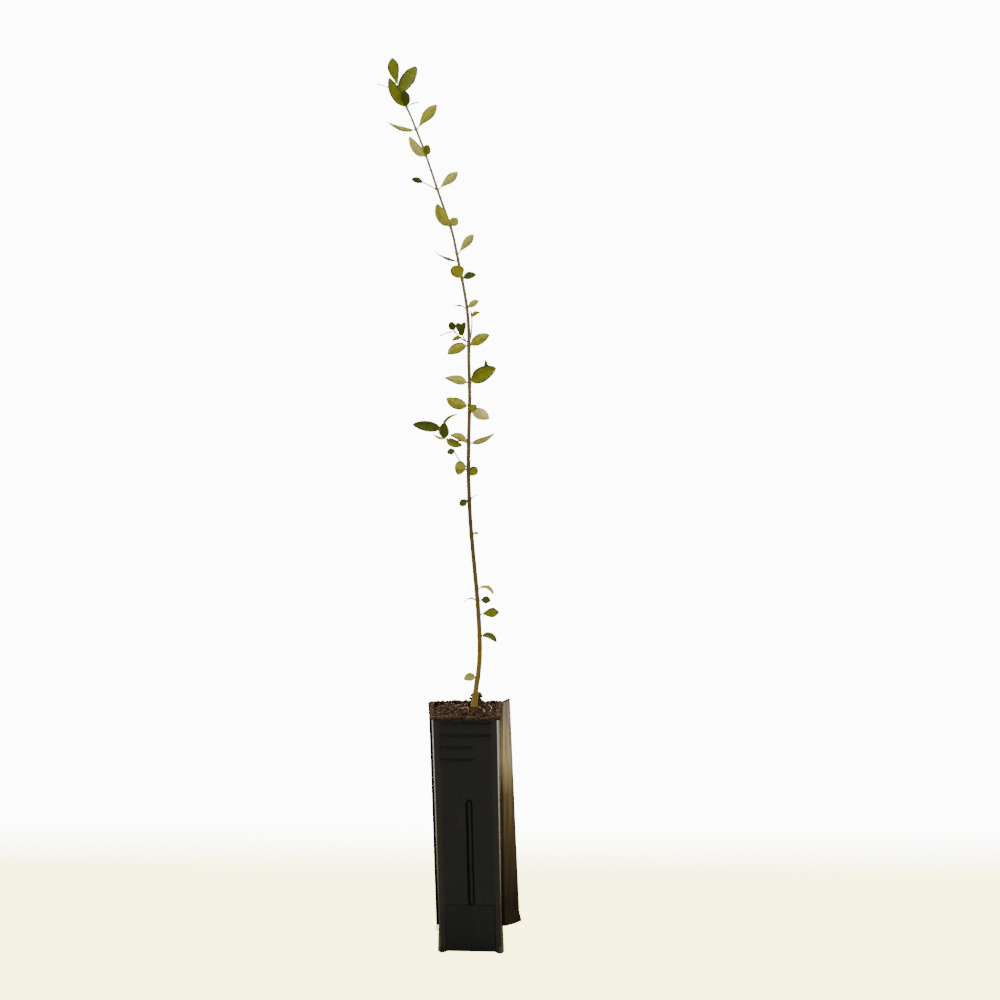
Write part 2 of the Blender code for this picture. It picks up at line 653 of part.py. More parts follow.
shell_rows = front_rows()
rear_rows = [0, FOOT_LIP_HEIGHT * 0.8, FOOT_LIP_HEIGHT * 1.6, 60 * MM, 120 * MM, POT_HEIGHT]
sheet("pot_front_shell", front_outer, front_inner, shell_rows, BLACK_PLASTIC)
sheet("pot_rear_shell", rear_outer, rear_inner, rear_rows, BLACK_PLASTIC)
pot_base(BLACK_PLASTIC)
root_ball(PEAT)
stem(BARK)
for order, (node_height, node_leaves) in enumerate(LEAVES, start=1):
    leaf_node(order, node_height, node_leaves, LEAF_GREEN)
for shoot_name, (shoot_height, shoot_twigs, shoot_leaves) in SIDE_SHOOTS.items():
    side_shoot(shoot_name, shoot_height, shoot_twigs, shoot_leaves, LEAF_GREEN)
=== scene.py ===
from math import cos, exp, log, pi, radians, sin, sqrt, tan
from random import Random

import bpy
from mathutils import Matrix, Vector, noise


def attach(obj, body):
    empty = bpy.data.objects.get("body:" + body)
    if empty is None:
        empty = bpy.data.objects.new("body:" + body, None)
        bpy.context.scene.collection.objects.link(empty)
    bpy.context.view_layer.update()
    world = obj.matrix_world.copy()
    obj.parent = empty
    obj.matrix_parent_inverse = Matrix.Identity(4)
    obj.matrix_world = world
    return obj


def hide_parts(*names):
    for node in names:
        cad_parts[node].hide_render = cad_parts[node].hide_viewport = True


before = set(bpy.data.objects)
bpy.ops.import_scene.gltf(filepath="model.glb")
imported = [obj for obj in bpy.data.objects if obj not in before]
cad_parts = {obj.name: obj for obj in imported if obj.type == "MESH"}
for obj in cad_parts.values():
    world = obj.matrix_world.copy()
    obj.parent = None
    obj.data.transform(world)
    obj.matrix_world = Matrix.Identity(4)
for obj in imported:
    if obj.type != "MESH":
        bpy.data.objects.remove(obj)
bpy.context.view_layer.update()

MM = 0.001
UP = Vector((0, 0, 1))
FRONT = Vector((0, -1, 0))


# The studio
#
# A pale cream table top that fades to white behind the pot, a soft light from the upper left and the
# camera in front of the ribbed side, a little to its right and level with the middle of the plant.

CAMERA_PLACE = Vector((0.0862, -0.7020, 0.3660))
CAMERA_YAW = radians(4.77)
CAMERA_DIP = radians(2.75)
CAMERA_ROLL = radians(-1.34)
SENSOR_WIDTH = 36
FOCAL_LENGTH = 34.38
CREAM_SHADE = (0.28, 0.26, 0.18)
CREAM_GLOW = (0.55, 0.50, 0.22)
WHITE = (1.0, 1.0, 1.0)
ROOM_LIGHT = 1.1
SEEN_WHITE = 12.0
BRIGHT_BACKDROP = 12.0
DARK_ROOM = 0.06
MIRRORED_SHARE = 0.22
KEY_POWER = 5.0
FILL_POWER = 2.0


class Wire:
    """An output socket in a material. Python's signs on it add Math nodes."""

    def __init__(self, tree, socket):
        self.tree = tree
        self.socket = socket

    def node(self, kind, settings=None, output=0, inputs=None, **named):
        """Adds a node of any kind: its settings first, then values or links for its sockets."""
        made = self.tree.nodes.new("ShaderNode" + kind)
        for key, value in (settings or {}).items():
            if key == "stops":
                while len(made.color_ramp.elements) < len(value):
                    made.color_ramp.elements.new(0.5)
                for element, (place, colour) in zip(made.color_ramp.elements, value):
                    element.position = place
                    element.color = (*colour, 1)
            else:
                setattr(made, key, value)
        for key, value in {**(inputs or {}), **named}.items():
            socket = made.inputs[key.replace("_", " ") if isinstance(key, str) else key]
            if isinstance(value, Wire):
                self.tree.links.new(value.socket, socket)
            else:
                socket.default_value = value
        return Wire(self.tree, made.outputs[output])

    def maths(self, operation, first, second=0.0):
        return self.node("Math", {"operation": operation}, inputs={0: first, 1: second})

    def __add__(self, other):
        return self.maths("ADD", self, other)

    def __sub__(self, other):
        return self.maths("SUBTRACT", self, other)

    def __mul__(self, other):
        return self.maths("MULTIPLY", self, other)

    def __truediv__(self, other):
        return self.maths("DIVIDE", self, other)

    def __pow__(self, other):
        return self.maths("POWER", self, other)

    def __rsub__(self, other):
        return self.maths("SUBTRACT", other, self)

    __radd__ = __add__
    __rmul__ = __mul__

    def step(self, low, high):
        """0 at low, 1 at high and smooth between."""
        return self.node("MapRange", {"interpolation_type": "SMOOTHSTEP"},
                         Value=self, From_Min=low, From_Max=high)

    def colours(self, *stops):
        """A colour from a ramp of (place, colour) stops."""
        return self.node("ValToRGB", {"stops": stops}, Fac=self)

    def mixed(self, first, second):
        """From the first colour where this is 0 to the second where it is 1."""
        colours = [colour if isinstance(colour, Wire) else (*colour, 1) for colour in (first, second)]
        return self.node("Mix", {"data_type": "RGBA"}, output=2, inputs={0: self, 6: colours[0], 7: colours[1]})

    def scaled(self, x, y, z):
        """This vector with its axes scaled apart."""
        return self.node("VectorMath", {"operation": "MULTIPLY"}, inputs={0: self, 1: (x, y, z)})

    def axis(self, letter):
        return self.node("SeparateXYZ", output="XYZ".index(letter), Vector=self)

    def grain(self, size, detail=3.0, roughness=0.55):
        """Noise from 0 to 1 with spots of about this size, in metres."""
        return self.node("TexNoise", Vector=self, Scale=1 / size, Detail=detail, Roughness=roughness)

    def cells(self, size):
        """Distance to the middle of the nearest cell, with cells of about this size, in metres."""
        return self.node("TexVoronoi", Vector=self, Scale=1 / size)


class Finish:
    """A material being made, with its place over the surface ready to use."""

    def __init__(self, name):
        self.material = bpy.data.materials.new(name)
        self.material.use_nodes = True
        self.tree = self.material.node_tree
        self.shader = self.tree.nodes["Principled BSDF"]
        coordinates = self.tree.nodes.new("ShaderNodeTexCoord")
        self.place = Wire(self.tree, coordinates.outputs["Object"])

    def set(self, **values):
        for key, value in values.items():
            socket = self.shader.inputs[key.replace("_", " ")]
            if isinstance(value, Wire):
                self.tree.links.new(value.socket, socket)
            else:
                socket.default_value = (*value, 1) if isinstance(value, tuple) else value
        return self

    def bumped(self, height, depth):
        """Relief from a height of 0 to 1, this deep in metres."""
        bump = height.node("Bump", Height=height, Distance=depth, Strength=1.0)
        self.tree.links.new(bump.socket, self.shader.inputs["Normal"])
        return self


def mesh_piece(name, vertices, faces, material, smooth_angle=60):
    mesh = bpy.data.meshes.new(name)
    mesh.from_pydata(vertices, [], faces)
    mesh.shade_smooth()
    mesh.set_sharp_from_angle(angle=radians(smooth_angle))
    mesh.materials.append(material)
    piece = bpy.data.objects.new(name, mesh)
    bpy.context.scene.collection.objects.link(piece)
    return piece


def soft_light(name, place, target, size, power):
    lamp = bpy.data.lights.new(name, "AREA")
    lamp.size = size
    lamp.energy = power
    piece = bpy.data.objects.new(name, lamp)
    piece.location = place
    piece.rotation_euler = (Vector(target) - Vector(place)).to_track_quat("-Z", "Y").to_euler()
    bpy.context.scene.collection.objects.link(piece)


view_camera = bpy.data.objects.new("view_camera", bpy.data.cameras.new("view_camera"))
view_camera.data.sensor_width = SENSOR_WIDTH
view_camera.data.lens = FOCAL_LENGTH
level = Vector((-sin(CAMERA_YAW), cos(CAMERA_YAW), 0))
beside = Vector((cos(CAMERA_YAW), sin(CAMERA_YAW), 0))
ahead = level * cos(CAMERA_DIP) - UP * sin(CAMERA_DIP)
above = UP * cos(CAMERA_DIP) + level * sin(CAMERA_DIP)
rolled_right = beside * cos(CAMERA_ROLL) + above * sin(CAMERA_ROLL)
rolled_up = above * cos(CAMERA_ROLL) - beside * sin(CAMERA_ROLL)
turned = Matrix((rolled_right, rolled_up, -ahead)).transposed().to_4x4()
view_camera.matrix_world = Matrix.Translation(CAMERA_PLACE) @ turned
bpy.context.scene.collection.objects.link(view_camera)
bpy.context.scene.camera = view_camera

floor_finish = Finish("cream_table")
fade = floor_finish.place.axis("Y").step(0.10, 0.24)
floor_finish.set(Base_Color=CREAM_SHADE, Roughness=0.9, Specular_IOR_Level=0.1)
behind = floor_finish.place.axis("Y").step(0.02, 0.12) * MIRRORED_SHARE
mirrored = floor_finish.place.node("LightPath", output="Is Glossy Ray") * behind
shown = floor_finish.place.node("LightPath") + mirrored
glow = shown.mixed((0.0, 0.0, 0.0), fade.mixed(CREAM_GLOW, WHITE))
floor_finish.set(Emission_Color=glow, Emission_Strength=SEEN_WHITE)
floor = mesh_piece("floor", [(-6, -6, 0), (6, -6, 0), (6, 6, 0), (-6, 6, 0)], [(0, 1, 2, 3)],
                   floor_finish.material)

world = bpy.data.worlds.new("white_room")
world.use_nodes = True
room = world.node_tree.nodes["Background"]
room.inputs["Color"].default_value = (1, 1, 1, 1)
rays = world.node_tree.nodes.new("ShaderNodeLightPath")
seen = Wire(world.node_tree, rays.outputs["Is Camera Ray"])
mirrored = Wire(world.node_tree, rays.outputs["Is Glossy Ray"])
outlook = Wire(world.node_tree, world.node_tree.nodes.new("ShaderNodeTexCoord").outputs["Generated"])
behind = outlook.axis("Y").step(0.1, 0.7) * BRIGHT_BACKDROP + DARK_ROOM
strength = seen * (SEEN_WHITE - ROOM_LIGHT) + mirrored * (behind - ROOM_LIGHT) + ROOM_LIGHT
world.node_tree.links.new(strength.socket, room.inputs["Strength"])
bpy.context.scene.world = world
soft_light("key_light", (-0.6, -0.9, 1.1), (0, 0, 0.3), 0.8, KEY_POWER)
soft_light("fill_light", (0.8, -0.7, 0.5), (0, 0, 0.3), 0.8, FILL_POWER)


# The pot
#
# Two thin shells of black plastic sheet, heated and drawn over a mould, with the ribbed front and its
# sides in one piece and the back with its free flap in the other, over a grid that the plug stands on.

POT_HEIGHT = 175 * MM
STRIP_FROM = 18.2 * MM
PANEL_BACK = -17 * MM
FOOT_BAND_TOP = 36 * MM
RIM_FROM = 173.4 * MM
FLAP_FROM = 21 * MM
BLACK = (0.0045, 0.0055, 0.0070)
# Darker blue-black for the painted shade on the band at the foot of the front
FOOT_SHADE_BLACK = (0.0015, 0.0028, 0.0060)
PEAT_FILM = (0.050, 0.036, 0.022)
PEAT_STAIN = (0.032, 0.021, 0.012)


def plastic_finish(name, film_size, film_low, film_high, film_most):
    """Glossy black sheet, drawn thin with faint ripples, with a thin film of dry peat on it in patches."""
    finish = Finish(name)
    place = finish.place
    film = place.scaled(1, 1, 0.3).grain(film_size, 5.0, 0.6).step(film_low, film_high) * film_most
    specks = 1 - place.cells(1.7 * MM).step(0.10, 0.22)
    dirty = place.grain(9 * MM, 2.0).step(0.54, 0.68) * specks
    ripples = place.scaled(1, 1, 0.3).grain(5 * MM, 2.0) + place.grain(0.5 * MM, 2.0) * 0.06
    finish.bumped(ripples, 0.12 * MM)
    rim = place.axis("Z").step(RIM_FROM, RIM_FROM + MM)
    return finish, place, film, dirty.maths("MAXIMUM", dirty, rim)


front_finish, place, film, dirty = plastic_finish("black_sheet_front", 15 * MM, 0.50, 0.80, 0.35)
aside = place.axis("X").maths("ABSOLUTE", place.axis("X")).step(STRIP_FROM, STRIP_FROM + 1.5 * MM)
sides = place.axis("Y").step(PANEL_BACK, PANEL_BACK + 2 * MM)
# Painted shade: the band at the foot of the front is painted a darker blue-black than the rest of the sheet
foot_band_painted_shade = 1 - place.axis("Z").step(FOOT_BAND_TOP - MM, FOOT_BAND_TOP)
black_with_foot_shade = (foot_band_painted_shade * 0.8).mixed(BLACK, FOOT_SHADE_BLACK)
filmed = (film * 0.6 + aside * (1 - sides) * 0.2).mixed(black_with_foot_shade, PEAT_FILM)
front_finish.set(Base_Color=dirty.mixed(filmed, PEAT_STAIN), Roughness=(film * 0.3 + 0.14) * (1 - sides) + dirty * 0.5 + 0.06)

rear_finish, place, film, dirty = plastic_finish("black_sheet_rear", 10 * MM, 0.40, 0.75, 0.8)
flap = place.axis("X").step(FLAP_FROM, FLAP_FROM + 1.5 * MM)
height = place.axis("Z") / POT_HEIGHT
# Peat-stained brown on the flap, with a painted highlight as a pale band about three quarters of the way up,
# and darker towards the bottom
flap_colour_painted_highlight = height.colours((0.10, (0.020, 0.013, 0.006)), (0.35, (0.060, 0.038, 0.012)),
                             (0.58, (0.130, 0.082, 0.026)), (0.74, (0.420, 0.330, 0.150)),
                             (0.86, (0.340, 0.260, 0.110)), (0.97, (0.150, 0.100, 0.036)))
streaks = place.scaled(1, 1, 0.04).grain(1.6 * MM, 3.0).step(0.42, 0.66)
filmed = (film * 0.5).mixed(BLACK, PEAT_FILM)
brown = (streaks * 0.5).mixed(flap_colour_painted_highlight, PEAT_STAIN)
coloured = flap.mixed(filmed, brown)
left = 1 - place.axis("X").step(-26 * MM, -24 * MM)
rear_finish.set(Base_Color=dirty.mixed(coloured, PEAT_STAIN), Specular_IOR_Level=0.15,
                Roughness=(dirty * 0.5 + streaks * 0.1 + 0.24) * (1 - left) + 0.06)

base_finish, place, film, dirty = plastic_finish("black_grid", 8 * MM, 0.4, 0.7, 0.8)
base_finish.set(Base_Color=dirty.mixed(film.mixed(BLACK, PEAT_FILM), PEAT_STAIN), Roughness=0.4)
for node, finish in (("pot_front_shell", front_finish), ("pot_rear_shell", rear_finish),
                     ("pot_base", base_finish)):
    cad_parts[node].data.materials.clear()
    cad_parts[node].data.materials.append(finish.material)


# The peat plug
#
# Dark, moist, fibrous peat that the roots hold together. It fills the pot to its rim and rises in a
# loose crumbly mound behind the stem's foot, with crumbs, fibres and a few pale roots on top.

PEAT_SEED = 21
PEAT_VOXEL = 1.1 * MM
TOP_FROM = 168 * MM
STEM_FOOT = Vector((4.6, 1.2)) * MM
SEAT = 3.6 * MM
CRUMB_COUNT = 420
SPILT_COUNT = 330
MOUND_LUMPS = 46
RIM_CORNERS = [Vector(corner) * MM for corner in ((-24, -22), (-31.5, 23), (22, 23), (23.5, -22), (-24, -22))]
CRUMB_SIZES = (0.35 * MM, 1.5 * MM)
PEAT_DARK = (0.010, 0.006, 0.004)
PEAT_BROWN = (0.045, 0.022, 0.011)
PEAT_LIGHT = (0.12, 0.062, 0.026)
ROOT_COLOUR = (0.42, 0.29, 0.15)

peat_finish = Finish("moist_peat")
peat_mix = peat_finish.place.grain(2.6 * MM, 6.0, 0.7)
fibres = peat_finish.place.scaled(1, 3, 1).grain(0.9 * MM, 3.0, 0.7)
peat_colour = (peat_mix * 0.6 + fibres * 0.4).colours(
    (0.36, PEAT_DARK), (0.50, PEAT_BROWN), (0.68, PEAT_LIGHT))
peat_finish.set(Base_Color=peat_colour, Roughness=0.92, Specular_IOR_Level=0.1)
peat_finish.bumped(peat_mix + fibres * 0.5, 0.8 * MM)

rng = Random(PEAT_SEED)
plug = bpy.data.objects.new("peat_plug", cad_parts["root_ball"].data.copy())
bpy.context.scene.collection.objects.link(plug)
remesh = plug.modifiers.new("remesh", "REMESH")
remesh.mode = "VOXEL"
remesh.voxel_size = PEAT_VOXEL
bpy.context.view_layer.update()
plug.data = bpy.data.meshes.new_from_object(plug.evaluated_get(bpy.context.evaluated_depsgraph_get()))
plug.modifiers.clear()
for vertex in plug.data.vertices:
    place = vertex.co
    away = (place.to_2d() - STEM_FOOT).length
    if place.z < TOP_FROM:
        continue
    share = min(1.0, (place.z - TOP_FROM) / (5 * MM)) * min(1.0, max(0.0, (away - SEAT) / (2 * MM)))
    lumps = noise.noise(place / (3.2 * MM)) * 0.9 + noise.noise(place / (1.3 * MM)) * 0.6
    vertex.co = place + vertex.normal * lumps * share * MM
plug.data.shade_smooth()
plug.data.materials.clear()
plug.data.materials.append(peat_finish.material)
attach(plug, "root")
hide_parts("root_ball")


def top_of_peat(x, y):
    """Point and normal of the plug's surface straight below a place in plan."""
    found, place, normal, _ = plug.ray_cast(Vector((x, y, 0.25)), Vector((0, 0, -1)))
    return (place, normal) if found else (None, None)


def crumb(centre, size, rng):
    """A rough lump: a squashed eight-sided ball with its corners pushed about."""
    rings, sides = 4, 7
    stretch = Vector((rng.uniform(0.7, 1.4), rng.uniform(0.7, 1.4), rng.uniform(0.5, 0.9)))
    turn = rng.uniform(0, 2 * pi)
    vertices = [centre - UP * size * stretch.z]
    for ring in range(1, rings):
        tilt = pi * ring / rings
        for side in range(sides):
            spin = turn + 2 * pi * side / sides
            point = Vector((sin(tilt) * cos(spin), sin(tilt) * sin(spin), -cos(tilt)))
            rough = 1 + rng.uniform(-0.25, 0.25)
            vertices.append(centre + Vector(a * b for a, b in zip(point, stretch)) * size * rough)
    vertices.append(centre + UP * size * stretch.z)
    faces = []
    for side in range(sides):
        faces.append((0, 1 + (side + 1) % sides, 1 + side))
        for ring in range(rings - 2):
            low = 1 + ring * sides
            high = low + sides
            faces.append((low + side, low + (side + 1) % sides, high + (side + 1) % sides, high + side))
        low = 1 + (rings - 2) * sides
        faces.append((low + side, low + (side + 1) % sides, len(vertices) - 1))
    return vertices, faces


def joined(name, parts, material, smooth_angle=60):
    """Many small shapes as one mesh."""
    vertices, faces = [], []
    for part_vertices, part_faces in parts:
        start = len(vertices)
        vertices += part_vertices
        faces += [tuple(start + index for index in face) for face in part_faces]
    return mesh_piece(name, vertices, faces, material, smooth_angle)


crumb_finish = Finish("peat_crumbs")
crumb_mix = crumb_finish.place.grain(1.5 * MM, 4.0, 0.65)
crumb_finish.set(Base_Color=crumb_mix.colours((0.35, PEAT_DARK), (0.5, PEAT_BROWN), (0.66, PEAT_LIGHT)),
                 Roughness=0.9, Specular_IOR_Level=0.1)
crumb_finish.bumped(crumb_mix, 0.3 * MM)
crumbs = []
while len(crumbs) < CRUMB_COUNT:
    x, y = rng.uniform(-29, 21) * MM, rng.uniform(-19.5, 21.5) * MM
    place, normal = top_of_peat(x, y)
    size = CRUMB_SIZES[0] + (CRUMB_SIZES[1] - CRUMB_SIZES[0]) * rng.random() ** 2.5
    if place is None or place.z < TOP_FROM or (Vector((x, y)) - STEM_FOOT).length < SEAT + size:
        continue
    crumbs.append(crumb(place + normal * size * 0.35, size, rng))
for number in range(SPILT_COUNT):
    # Along the left rim, the back, the right and the front one
    along = rng.uniform(0, 4)
    start, end = RIM_CORNERS[int(along)], RIM_CORNERS[int(along) + 1]
    size = rng.uniform(0.8, 1.9) * MM
    flat = start + (end - start) * (along % 1) + Vector((rng.uniform(-1, 1), rng.uniform(-1, 1))) * MM
    crumbs.append(crumb(Vector((flat.x, flat.y, POT_HEIGHT + rng.uniform(-0.2, 0.5) * size)), size, rng))
for number in range(MOUND_LUMPS):
    turn, reach = rng.uniform(0, pi), rng.uniform(4.2, 7.5) * MM
    flat = STEM_FOOT + Vector((cos(turn), sin(turn))) * reach
    place, normal = top_of_peat(*flat)
    size = rng.uniform(1.0, 2.1) * MM
    crumbs.append(crumb(place + normal * size * 0.4, size, rng))
crumb_piece = joined("peat_crumbs", crumbs, crumb_finish.material)
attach(crumb_piece, "root")


def smooth_point(route, share):
    """The point of a Catmull-Rom curve through the route at a share of its spans."""
    spans = len(route) - 1
    place = min(share, 0.999999) * spans
    index = int(place)
    t = place - index
    before = route[max(index - 1, 0)]
    start = route[index]
    end = route[index + 1]
    after = route[min(index + 2, spans)]
    return 0.5 * (2 * start + (end - before) * t + (2 * before - 5 * start + 4 * end - after) * t ** 2
                  + (3 * start - before - 3 * end + after) * t ** 3)


def frame_across(direction, hint):
    """Two unit vectors across a direction, the second as near to the hint as it can be."""
    normal = (hint - direction * hint.dot(direction)).normalized()
    return direction.cross(normal), normal


def lofted(sections):
    """Vertices and faces of a solid skinned over closed sections, with flat ends."""
    count = len(sections[0])
    vertices = [point for section in sections for point in section]
    faces = [tuple(reversed(range(count)))]
    for row in range(len(sections) - 1):
        for column in range(count):
            here = row * count + column
            beside = row * count + (column + 1) % count
            faces.append((here, beside, beside + count, here + count))
    last = (len(sections) - 1) * count
    faces.append(tuple(range(last, last + count)))
    return vertices, faces


def tube(centres, radii, sides, hint=FRONT):
    """A round limb along some points, with its own radius at each."""
    sections = []
    for index, centre in enumerate(centres):
        direction = (centres[min(index + 1, len(centres) - 1)] - centres[max(index - 1, 0)]).normalized()
        across, normal = frame_across(direction, hint)
        turns = [2 * pi * side / sides for side in range(sides)]
        sections.append([centre + (across * sin(turn) + normal * cos(turn)) * radii[index] for turn in turns])
    return lofted(sections)


# Pale roots that loop out of the peat: points in plan with the height above it, and the thickness
ROOTS = (
    (((-27.0, -13, 0.0), (-26.5, -15, 1.6), (-24.0, -16.5, 2.4), (-21.5, -16, 1.0), (-20, -14, -0.4)), 0.42),
    (((-12.0, -14, -0.4), (-9.5, -16, 1.4), (-6.5, -17, 1.9), (-3.5, -16, 0.7), (-2, -13, -0.4)), 0.36),
    (((-6, 4, -0.3), (-3, 1, 1.0), (0, -2, 0.8), (1.0, -6, -0.2)), 0.5),
    (((8, 0, -0.2), (11, -3, 0.8), (13, -7, 0.5), (13.5, -11, -0.3)), 0.45),
    (((3, 9, -0.3), (-2, 11, 0.9), (-8, 11, 0.7), (-12, 9, -0.3)), 0.35),
    (((14, 8, -0.2), (16.5, 5, 1.2), (17.5, 1, 0.8), (16, -3, -0.3)), 0.3),
)
root_finish = Finish("pale_roots")
root_mix = root_finish.place.grain(1.2 * MM, 3.0)
root_finish.set(Base_Color=root_mix.colours((0.35, (0.20, 0.12, 0.06)), (0.6, ROOT_COLOUR)), Roughness=0.7)
root_finish.bumped(root_mix, 0.1 * MM)
root_tubes = []
for route, thickness in ROOTS:
    points = []
    for x, y, rise in route:
        place, _ = top_of_peat(x * MM, y * MM)
        height = place.z if place is not None else POT_HEIGHT - 2 * MM
        points.append(Vector((x * MM, y * MM, height + rise * MM)))
    centres = [smooth_point(points, step / 24) for step in range(25)]
    radii = [thickness * MM * (1 - 0.5 * step / 24) for step in range(25)]
    root_tubes.append(tube(centres, radii, 8, UP))
root_piece = joined("surface_roots", root_tubes, root_finish.material)
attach(root_piece, "root")


# The stem
#
# One season's straight shoot, woody at the foot and still green-brown at the tip. Thin smooth bark with
# faint ridges, corky dots and a slight swelling at each pair of leaves.

STEM_ROUTE = [Vector(point) * MM for point in (
    (4.6, 1.2, 177.9), (6.3, 1.4, 192), (8.6, 1.8, 206), (9.7, 2.2, 222), (9.5, 2.4, 241),
    (8.5, 2.0, 263), (6.6, 1.2, 292), (5.1, 0.4, 320), (4.7, 0.0, 350), (5.4, 0.2, 376),
    (6.9, 0.6, 408), (6.9, 1.0, 437), (7.4, 1.0, 456), (6.6, 1.2, 472), (4.0, 1.6, 491),
    (0.2, 2.0, 512), (-3.6, 2.4, 531), (-11.8, 3.0, 556), (-21.2, 3.4, 586), (-30.6, 3.6, 612),
    (-36.6, 3.7, 626), (-41.0, 3.8, 637),
)]
STEM_SIDES = 20
STEM_STATIONS = 520
STEM_FOOT_RADIUS = 2.05 * MM
STEM_TIP_RADIUS = 0.75 * MM
FLARE_RADIUS = 0.9 * MM
FLARE_HEIGHT = 5 * MM
NODE_SWELL = 0.28 * MM
NODE_LENGTH = 1.1 * MM
RIDGE_DEPTH = 0.05 * MM
# Heights of the pairs of leaves
NODE_HEIGHTS = (199.0, 230.7, 246.8, 257.6, 266.0, 307.2, 332.6, 354.8, 374.7, 397.5, 402.6, 419.0, 446.2,
                473.8, 495.2, 508.4, 513.2, 533.6, 560.8, 585.6, 605.0, 621.5, 631.0, 636.2)
# The bark's colours by height
BARK_COLOURS = ((0.178, (0.24, 0.15, 0.014)), (0.25, (0.15, 0.095, 0.010)), (0.32, (0.095, 0.064, 0.010)),
                (0.42, (0.160, 0.110, 0.030)), (0.50, (0.190, 0.150, 0.055)), (0.56, (0.20, 0.19, 0.08)),
                (0.637, (0.20, 0.20, 0.08)))


def stem_point(share):
    return smooth_point(STEM_ROUTE, share)


def stem_radius(share):
    rise = stem_point(share).z - STEM_ROUTE[0].z
    flare = FLARE_RADIUS * exp(-rise / FLARE_HEIGHT)
    return STEM_FOOT_RADIUS + (STEM_TIP_RADIUS - STEM_FOOT_RADIUS) * share + flare


def stem_direction(share):
    step = 0.002
    return (stem_point(min(share + step, 1)) - stem_point(max(share - step, 0))).normalized()


def share_at_height(z):
    low, high = 0.0, 1.0
    for _ in range(30):
        middle = (low + high) / 2
        if stem_point(middle).z < z:
            low = middle
        else:
            high = middle
    return low


bark_finish = Finish("young_bark")
bark_low, bark_high = BARK_COLOURS[0][0], BARK_COLOURS[-1][0]
bark_height = bark_finish.place.axis("Z").node("MapRange", Value=bark_finish.place.axis("Z"),
                                               From_Min=bark_low, From_Max=bark_high)
bark_tone = bark_height.colours(*(((height - bark_low) / (bark_high - bark_low), colour)
                                  for height, colour in BARK_COLOURS))
bark_streaks = bark_finish.place.scaled(1, 1, 0.12).grain(0.7 * MM, 4.0, 0.6)
streaked = (bark_streaks.step(0.4, 0.7) * 0.35).mixed(bark_tone, (0.05, 0.032, 0.010))
bark_finish.set(Base_Color=streaked, Roughness=0.6, Specular_IOR_Level=0.25)
bark_finish.bumped(bark_streaks, 0.05 * MM)

stem_sections = []
node_shares = [share_at_height(height * MM) for height in NODE_HEIGHTS]
for station in range(STEM_STATIONS + 1):
    share = station / STEM_STATIONS
    centre = stem_point(share)
    direction = UP if station == 0 else stem_direction(share)
    across, normal = frame_across(direction, FRONT)
    radius = stem_radius(share)
    swell = sum(exp(-((centre.z - height * MM) / NODE_LENGTH) ** 2) for height in NODE_HEIGHTS)
    section = []
    for side in range(STEM_SIDES):
        turn = 2 * pi * side / STEM_SIDES
        ridges = noise.noise(Vector((cos(turn) * 3, sin(turn) * 3, centre.z / (9 * MM)))) * RIDGE_DEPTH
        reach = radius + ridges + NODE_SWELL * min(swell, 1) * (0.6 + 0.4 * cos(turn * 2 + station * 0.1))
        section.append(centre + (across * sin(turn) + normal * cos(turn)) * reach)
    stem_sections.append(section)
stem_piece = mesh_piece("stem_bark", *lofted(stem_sections), bark_finish.material)
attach(stem_piece, "root")
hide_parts("stem")


# The leaves
#
# Small leathery leaves in pairs, deep green and glossy above and pale yellow-green beneath, folded along
# the rib and arched. Each is a thin closed blade with its rib and side veins raised, on a short stalk.

CLEARANCE = 0.3 * MM
COLLAR_WIDTH = 0.8 * MM
LEAF_FORMS = {
    "oval": (0.05, 0.44, 0.62),
    "spoon": (0.05, 0.63, 0.78),
    "paddle": (0.56, 0.55, 0.6),
    "lance": (0.06, 0.36, 0.9),
    "round": (0.08, 0.52, 0.5),
}
LEAF_STATIONS = 26
LEAF_COLUMNS = 9
LEAF_EDGE = 0.16 * MM
LEAF_RIB = 0.46 * MM
VEIN_RISE = 0.05 * MM
VEIN_PAIRS = 6
STALK_RADIUS = 0.44 * MM
LEAF_FOLD = radians(16)
TIP_WIDTH = 0.2 * MM
TINTS = {
    "deep": (0.070, 0.088, 0.006),
    "green": (0.165, 0.180, 0.006),
    "olive": (0.330, 0.325, 0.035),
    "lime": (0.460, 0.440, 0.085),
    "pale": (0.740, 0.640, 0.220),
    "grey": (0.250, 0.240, 0.110),
    "stalk": (0.140, 0.115, 0.025),
    "red": (0.190, 0.085, 0.020),
    "dark": (0.050, 0.045, 0.008),
}

